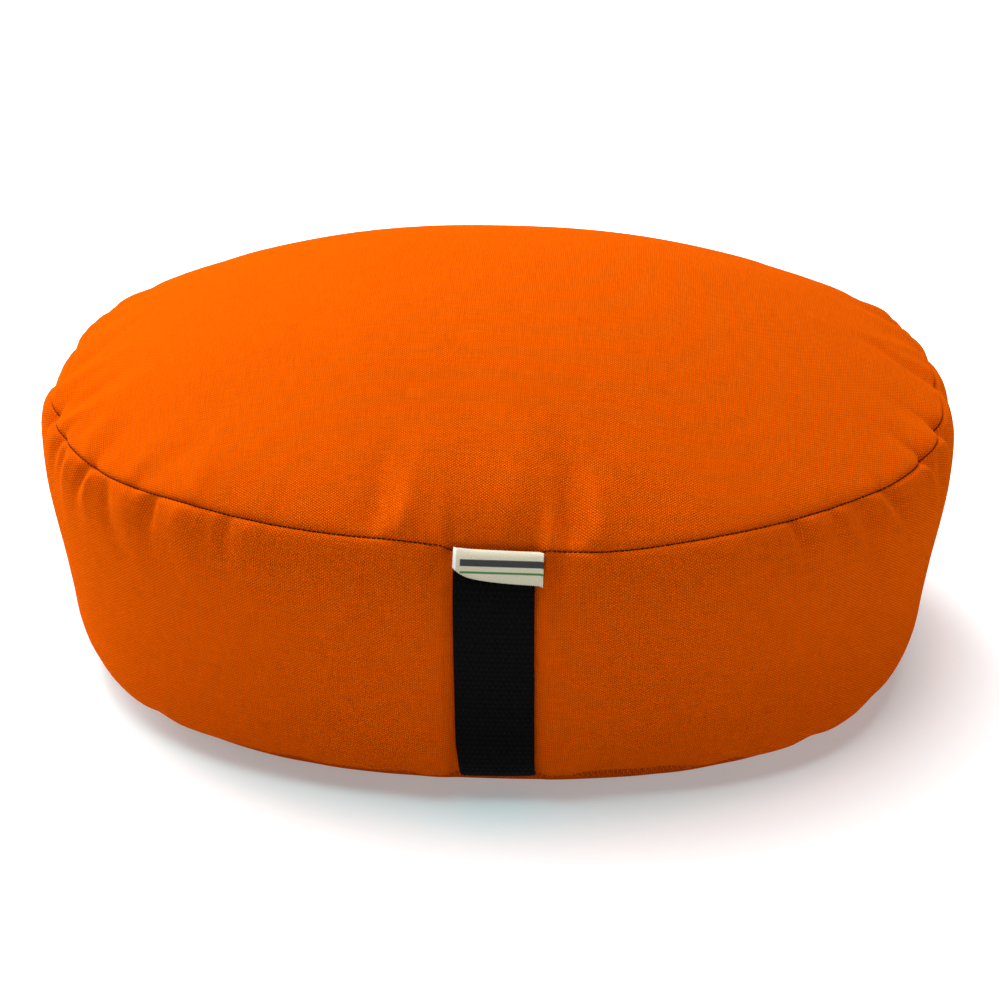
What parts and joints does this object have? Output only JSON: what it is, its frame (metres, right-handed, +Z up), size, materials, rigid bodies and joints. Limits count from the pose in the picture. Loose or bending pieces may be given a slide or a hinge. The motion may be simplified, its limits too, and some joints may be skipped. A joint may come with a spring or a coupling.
{
  "type": "zafu meditation cushion",
  "caption": "Oval zafu meditation cushion: crowned canvas top, gathered side band, flat base and a flat carry strap down the front.",
  "frame": {"origin": "centre of the overall box, on the surface that the cushion stands on", "axes": "+X along the cushion's long axis, to the right as seen from the front; the front with the strap faces -Y; +Z up through the crown"},
  "size_m": [0.4682, 0.3602, 0.211],
  "materials": {
    "canvas": "matt plain-weave cotton canvas, saturated orange",
    "webbing": "matt black cotton webbing, ribbed",
    "woven_tape": "cream woven tape, slight satin sheen"
  },
  "bodies": {
    "root": {"cushion_body": "canvas", "carry_strap": "webbing", "label": "woven_tape"}
  },
  "joints": []
}
